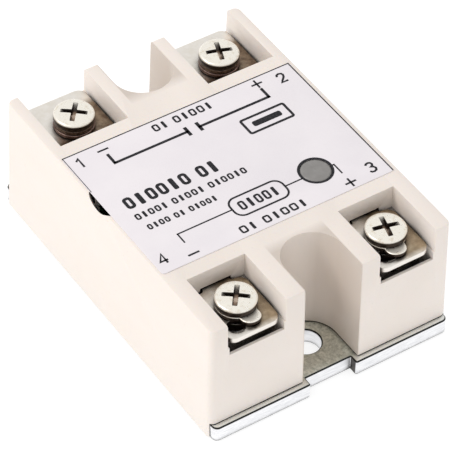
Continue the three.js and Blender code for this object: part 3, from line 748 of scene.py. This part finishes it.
def label_print(materials):
    low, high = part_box("label")
    lens_low, lens_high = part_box("status_lens")
    lens_x = (lens_low.x + lens_high.x) / 2 / MM
    lens_y = (lens_low.y + lens_high.y) / 2 / MM
    ink = Print(high.z / MM)
    left, right, rear = low.x / MM + 0.12, high.x / MM - 0.15, high.y / MM - 0.15
    ink.line([(left, rear), (right, rear), (right, low.y / MM + 0.2)], 0.2)
    ink.line([(left, rear), (left, 5)], 0.12)

    for number, x, y in ((1, -19.6, 11.4), (2, 18.4, 11.3), (3, 18.6, -13.5), (4, -20, -13.2)):
        ink.digit(DIGITS[number], x, y, 2.1, 0.36)

    sign_arm = 2.0
    for x, y in ((14.1, 12.15), (13.95, -14.6)):
        ink.bar(x, y, sign_arm, SIGN_LINE)
        ink.bar(x, y, SIGN_LINE, sign_arm)
    for x, y in ((-15.1, 12.1), (-15.3, -14.7)):
        ink.bar(x, y, sign_arm, SIGN_LINE)

    # Output side: two brackets that face each other across an open contact.
    row, contact_left, contact_right = 8.6, -1.4, 0.8
    ink.line([(-15, 10.7), (-15, row), (contact_left, row)], BOLD_LINE)
    for x in (contact_left, contact_right):
        ink.line([(x, 9.4), (x, 7.9)], CONTACT_LINE)
    ink.line([(contact_right, row), (14.1, row), (14.1, 10.7)], BOLD_LINE)
    ink.words(-6, 12, (2, 5), 1.5, 1.6, 0.34)

    # Rows of words and the rating field.
    margin = -18.9
    ink.words(margin, -0.2, (6, 2), 2.03, 2.6, 0.56)
    ink.words(margin, -3.5, (5, 5, 6), 1.2, 1.35, 0.31)
    ink.words(-18.4, -6.3, (4, 2, 5), 1.05, 1.2, 0.29)
    ink.frame(11, 4.5, 8.6, 3.8, 0.5, 0.45)
    ink.pill(11, 4.5, 5.4, 1.2)

    # Input side: a lead, the boxed caption, the status light's ring and the other lead.
    row, ring_edge = -9.9, 2.9
    ink.line([(-15.2, -11.9), (-15.2, row), (-5.4, row)])
    ink.frame(-0.2, row, 10.2, 4.5, 1.7, 0.34)
    ink.words(-4.0, row, (5,), 1.5, 2.0, 0.38)
    ink.line([(4.9, row), (lens_x - ring_edge, row)])
    ink.ring(lens_x, lens_y, 2.95, 2.52)
    ink.line([(lens_x + ring_edge, row), (14, row), (14, -12.1)])
    ink.words(-6.8, -14.4, (2, 5), 1.66, 1.6, 0.34)

    mesh = bpy.data.meshes.new("label_print")
    bmesh.ops.recalc_face_normals(ink.mesh, faces=ink.mesh.faces)
    ink.mesh.to_mesh(mesh)
    ink.mesh.free()
    piece = link_mesh("label_print", mesh)
    mesh.materials.append(materials["print_ink"])
    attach(piece, "relay_body")


# ---- The pieces ------------------------------------------------------------------------------

def dress_cad_nodes(materials):
    """Every CAD node gets its finish, whether it shows or is replaced later."""
    for node, piece in NODES.items():
        for slot in piece.material_slots:
            slot.material = materials[SLOT_OF[node]]
        if not piece.material_slots:
            piece.data.materials.append(materials[SLOT_OF[node]])


def top_of(node):
    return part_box(node)[1].z / MM


def bottom_of(node):
    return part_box(node)[0].z / MM


def axis_place(number):
    x, y, _ = SCREW_AXIS[f"screw_{number}"]
    return (x / MM, y / MM, 0)


SHANK_RADIUS = 1.75
THREAD_PITCH = 0.6
THREAD_DEPTH = 0.34
TIP_TAPER = 0.5
BORE_RADIUS = 2.0
HEAD_HEIGHT = 1.6
HEAD_RADIUS = 3.4
HEAD_RIM = 0.5
HEAD_CROWN = 0.2
RECESS_DEPTH = 1.15
NECK_LENGTH = 0.9
NECK_OVERLAP = 0.1


def thread(form, top, bottom, steps=40, rings_per_turn=8):
    """A right-handed screw thread, closed at both ends: rings whose radius follows the profile."""
    count = round((top - bottom) / THREAD_PITCH * rings_per_turn)
    rings = []
    for k in range(count + 1):
        height = top + (bottom - top) * k / count
        crest = SHANK_RADIUS - TIP_TAPER * max(0, 1 - (height - bottom) / THREAD_PITCH)
        ring = []
        for i in range(steps):
            angle = 2 * math.pi * i / steps
            wave = math.cos(2 * math.pi * height / THREAD_PITCH - angle)
            radius = crest - THREAD_DEPTH * (1 - wave) / 2
            ring.append(form.verts.new((radius * math.cos(angle), radius * math.sin(angle), height)))
        rings.append(ring)
    for first, second in zip(rings, rings[1:]):
        join_loops(form, first, second)
    form.faces.new(rings[0])
    form.faces.new(rings[-1])


def cross_recess(top, depth):
    """The tapered cutter of a cross recess: four wings that narrow towards the bottom."""
    form = bmesh.new()
    loops = []
    # At each level: the wings' reach, half their width, and the height over the head's top.
    levels = ((2.4, 0.50, 0.3), (2.2, 0.40, -0.12), (1.6, 0.34, -depth * 0.7), (1.15, 0.32, -depth))
    for reach, width, rise in levels:
        scale = 1 if rise > -depth / 2 else 0.7
        wing = [(reach, -width, 0.12), (reach, width, 0.12), (width, width, 0.1)]
        corners = []
        for cosine, sine in ((1, 0), (0, 1), (-1, 0), (0, -1)):
            for x, y, radius in wing:
                turned = (x * cosine - y * sine, x * sine + y * cosine)
                corners.append((*turned, radius * scale))
        loops.append([form.verts.new((x, y, top + rise)) for x, y in filleted(corners, 3)])
    for first, second in zip(loops, loops[1:]):
        join_loops(form, first, second)
    form.faces.new(loops[0])
    form.faces.new(loops[-1])
    return new_piece("cross_recess", form)


def terminal_screw(number):
    """A pan-head screw: crowned head, cross recess and a rolled thread."""
    node = f"terminal_screw_{number}"
    tip, top = bottom_of(node), top_of(node)
    low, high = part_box(node)
    radius = (high.x - low.x) / 2 / MM
    under = top - HEAD_HEIGHT
    inner, shoulder = radius - HEAD_RIM, top - HEAD_CROWN - HEAD_RIM
    form = bmesh.new()
    rounding = [(inner + out, shoulder + up) for out, up in reversed(quarter_arc(HEAD_RIM, 8))]
    neck, neck_end = SHANK_RADIUS - THREAD_DEPTH, under - NECK_LENGTH
    revolve(form, [
        (0, neck_end), (neck, neck_end), (neck, under), (radius - 0.25, under),
        (radius - 0.07, under + 0.07), (radius, under + 0.25), *rounding,
        (radius * 0.75, top - 0.115), (radius * 0.5, top - 0.05), (radius * 0.25, top - 0.012),
        (0, top),
    ])
    head = new_piece(node + "_detail", form, crease=40)
    carve(head, cross_recess(top, RECESS_DEPTH))
    shaft = bmesh.new()
    shaft.from_mesh(head.data)
    shaft.transform(Matrix.Scale(1 / MM, 4))
    thread(shaft, neck_end + NECK_OVERLAP, tip)
    bpy.data.objects.remove(head)
    return new_piece(node + "_detail", shaft, axis_place(number), SCREW_TURN[number], crease=34)


TAB_THICKNESS = 1.0
TAB_CORNER = 1.6
TAB_LENGTH = {"output": 13.0, "input": 10.8}
TAPPED_RADIUS = 1.95
COLLAR_RADIUS = 3.0
COLLAR_DEPTH = 1.2
NECK_HALF_WIDTH = 2.5
PIN_HALF_WIDTH = 1.2
PIN_LENGTH = 2.9
# The second, smaller hole of the input tabs: its place and radius.
SIDE_HOLE = (2.2, 3.5, 1.45)


def terminal_plate(number):
    """A stamped strip: the tab with its tapped collar, the neck, and the leg to the circuit."""
    node = f"terminal_plate_{number}"
    low, high = (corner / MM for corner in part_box(node))
    x, y, _ = axis_place(number)
    output = number in OUTPUT_TERMINALS
    side, length = (1, TAB_LENGTH["output"]) if output else (-1, TAB_LENGTH["input"])
    middle = side * ((low.x + high.x) / 2 - x)
    half = (high.x - low.x) / 2
    front = max(abs(low.y), abs(high.y)) - abs(y)
    root = min(abs(low.y), abs(high.y)) - abs(y)
    back = front - length
    neck, pin, corner = NECK_HALF_WIDTH, PIN_HALF_WIDTH, TAB_CORNER
    outline = filleted([
        (middle - half, back, corner), (-neck, back, 0.4), (-neck, root, 0.1), (neck, root, 0.1),
        (neck, back, 0.4), (middle + half, back, corner), (middle + half, front, corner),
        (middle - half, front, corner),
    ], 8)
    tapped_hole = circle(0, 0, TAPPED_RADIUS)
    holes = [tapped_hole] if output else [tapped_hole, circle(*SIDE_HOLE)]
    underside = high.z - TAB_THICKNESS
    collar = [circle(0, 0, COLLAR_RADIUS)[::-1], tapped_hole]
    foot = low.z if output else low.z + PIN_LENGTH
    form = bmesh.new()
    plate(form, [outline, *holes], underside, high.z, 0.14)
    plate(form, collar, underside - COLLAR_DEPTH, underside + 0.1, 0.05)
    leg_front = root + TAB_THICKNESS
    plate(form, [rectangle(-neck, neck, root, leg_front, 0.1)], foot, underside + 0.5, 0.08)
    if not output:
        plate(form, [rectangle(-pin, pin, root, leg_front, 0.1)], low.z, foot + 0.5, 0.08)
    return new_piece(node + "_detail", form, (x, y, 0), 0 if output else math.pi)


LOCK_WASHER_RADIUS = 3.25
LOCK_WASHER_TAPER = 0.08
LOCK_WASHER_GAP = 0.2
LOCK_WASHER_SLANT = 0.22
LOCK_WASHER_STEPS = 90
TONGUE_DISC_RADIUS = 3.3
TONGUE_REACH = 5.1
TONGUE_HALF_WIDTH = 1.7
TONGUE_THICKNESS = 0.8
TONGUE_CURL = 0.06
TONGUE_BEND = 3.0
TONGUE_CUTS = (3.2, 3.9, 4.5)


def flat_washer(number):
    """A flat washer with rounded edges, as wide as the screw's head."""
    node = f"clamp_washer_{number}"
    form = bmesh.new()
    outlines = [circle(0, 0, HEAD_RADIUS - 0.01)[::-1], circle(0, 0, BORE_RADIUS)]
    plate(form, outlines, bottom_of(node), top_of(node), 0.16)
    return new_piece(node + "_detail", form, axis_place(number), CLAMP_TURN[number])


def tongue_clamp(number):
    """A round clamping washer with a tongue at its front, whose edge curls up off the tab."""
    node = f"clamp_washer_{number}"
    low, disc, half = bottom_of(node), TONGUE_DISC_RADIUS, TONGUE_HALF_WIDTH
    side = math.acos(half / disc)
    rim = [(math.pi + 2 * side) * i / 56 - side for i in range(57)]
    tip = [math.pi * i / 20 for i in range(21)]
    outline = [(disc * math.cos(angle), disc * math.sin(angle)) for angle in rim]
    outline += [(-half * math.cos(angle), half - TONGUE_REACH - half * math.sin(angle)) for angle in tip]
    form = bmesh.new()
    plate(form, [outline, circle(0, 0, BORE_RADIUS, 48)], low, low + TONGUE_THICKNESS, 0.18)
    for cut in TONGUE_CUTS:
        whole = form.verts[:] + form.edges[:] + form.faces[:]
        bmesh.ops.bisect_plane(form, geom=whole, plane_co=(0, -cut, 0), plane_no=(0, 1, 0))
    for vertex in form.verts:
        past = max(0, -TONGUE_BEND - vertex.co.y)
        vertex.co.z += TONGUE_CURL * past * past
    return new_piece(node + "_detail", form, axis_place(number), CLAMP_TURN[number])


def lock_washer(number):
    """A split spring washer: a trapezoid ring whose slanted ends stand slightly apart."""
    node = f"lock_washer_{number}"
    low, high = bottom_of(node), top_of(node)
    section = filleted([
        (BORE_RADIUS, low + LOCK_WASHER_TAPER, 0.1), (LOCK_WASHER_RADIUS, low, 0.12),
        (LOCK_WASHER_RADIUS, high, 0.12), (BORE_RADIUS, high - LOCK_WASHER_TAPER, 0.1),
    ], 3)
    form = bmesh.new()
    steps, gap, slant = LOCK_WASHER_STEPS, LOCK_WASHER_GAP, LOCK_WASHER_SLANT
    loops = []
    for i in range(steps + 1):
        along = gap / 2 + (2 * math.pi - gap) * i / steps
        loop = []
        for radius, height in section:
            angle = along + slant * (height - low)
            loop.append(form.verts.new((radius * math.cos(angle), radius * math.sin(angle), height)))
        loops.append(loop)
    for first, second in zip(loops, loops[1:]):
        join_loops(form, first, second)
    form.faces.new(loops[0])
    form.faces.new(loops[-1])
    return new_piece(node + "_detail", form, axis_place(number), CLAMP_TURN[number])


PLATE_CORNER = 1.0
NOTCH_HALF_WIDTH = 4.3
NOTCH_DEPTH = 1.6
NOTCH_ROOT = 0.1
NOTCH_LIP = 0.34
PLATE_ARRIS = 0.3
MOUNTING_Y = 23.8
MOUNTING_RADIUS = 2.6


def base_plate():
    """The aluminium plate: notched at both ends, with a round hole in front and a slot behind."""
    low, high = (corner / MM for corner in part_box("base_plate"))
    side, end = high.x, high.y
    notch, shoulder, radius = NOTCH_HALF_WIDTH, end - NOTCH_DEPTH, MOUNTING_RADIUS
    corner, root, lip = PLATE_CORNER, NOTCH_ROOT, NOTCH_LIP
    arc = [-math.pi * i / 24 for i in range(25)]
    slot_floor = [(radius * math.cos(angle), MOUNTING_Y + radius * math.sin(angle), 0) for angle in arc]
    outline = filleted([
        (-side, -end, corner), (-notch, -end, lip), (-notch, -shoulder, root),
        (notch, -shoulder, root), (notch, -end, lip), (side, -end, corner),
        (side, end, corner), (notch, end, lip), (notch, shoulder, root), (radius, shoulder, lip),
        *slot_floor, (-radius, shoulder, lip), (-notch, shoulder, root), (-notch, end, lip),
        (-side, end, corner),
    ])
    hole = circle(0, -MOUNTING_Y, radius)
    form = bmesh.new()
    plate(form, [outline, hole], low.z, high.z, PLATE_ARRIS)
    return new_piece("base_plate_detail", form)


def add_details(materials):
    finish_piece(base_plate(), "base_plate", materials)
    for node, width in (("housing", 0.3), ("label", 0.05)):
        finish_piece(softened_copy(node, width), node, materials)
    for number in OUTPUT_TERMINALS:
        finish_piece(flat_washer(number), f"clamp_washer_{number}", materials)
        finish_piece(lock_washer(number), f"lock_washer_{number}", materials)
    for number in INPUT_TERMINALS:
        finish_piece(tongue_clamp(number), f"clamp_washer_{number}", materials)
    for number in SCREW_TURN:
        finish_piece(terminal_plate(number), f"terminal_plate_{number}", materials)
        finish_piece(terminal_screw(number), f"terminal_screw_{number}", materials)


# ---- Floor and light -------------------------------------------------------------------------

def add_floor():
    """A pale table that glows softly, as if it were lit from below."""
    half = 1.5
    mesh = bpy.data.meshes.new("floor")
    corners = [(-half, -half, 0), (half, -half, 0), (half, half, 0), (-half, half, 0)]
    mesh.from_pydata(corners, [], [(0, 1, 2, 3)])
    floor = link_mesh("floor", mesh)
    look = Shader("floor_paper", (0.32, 0.32, 0.32), 0.8)
    look.color(look.mix(look.ramp(look.noise(40, 2), 0.3, 0.7), (0.33, 0.33, 0.33), (0.31, 0.31, 0.31)))
    look.surface.inputs["Specular IOR Level"].default_value = 0.0
    look.surface.inputs["Emission Color"].default_value = (1, 1, 1, 1)
    look.surface.inputs["Emission Strength"].default_value = 0.8
    mesh.materials.append(look.material)


def add_area_light(name, position, size, power, color):
    data = bpy.data.lights.new(name, "AREA")
    data.shape = "DISK"
    data.size = size
    data.energy = power
    data.color = color
    lamp = bpy.data.objects.new(name, data)
    lamp.location = position
    aim = Vector((0, 0, 0.01)) - Vector(position)
    lamp.rotation_euler = aim.to_track_quat("-Z", "Y").to_euler()
    bpy.context.scene.collection.objects.link(lamp)


def add_light():
    world = bpy.data.worlds.new("studio")
    world.use_nodes = True
    background = world.node_tree.nodes["Background"]
    background.inputs["Color"].default_value = (1, 1, 1, 1)
    background.inputs["Strength"].default_value = 0.8
    bpy.context.scene.world = world
    add_area_light("key", (-0.6, 0.25, 0.7), 0.35, 2.75, (1.0, 0.96, 0.935))
    scene = bpy.context.scene
    scene.view_settings.view_transform = "Standard"
    scene.view_settings.look = "None"


# ---- Build -----------------------------------------------------------------------------------

add_camera()
finishes = make_materials()
dress_cad_nodes(finishes)
add_details(finishes)
label_print(finishes)
add_floor()
add_light()
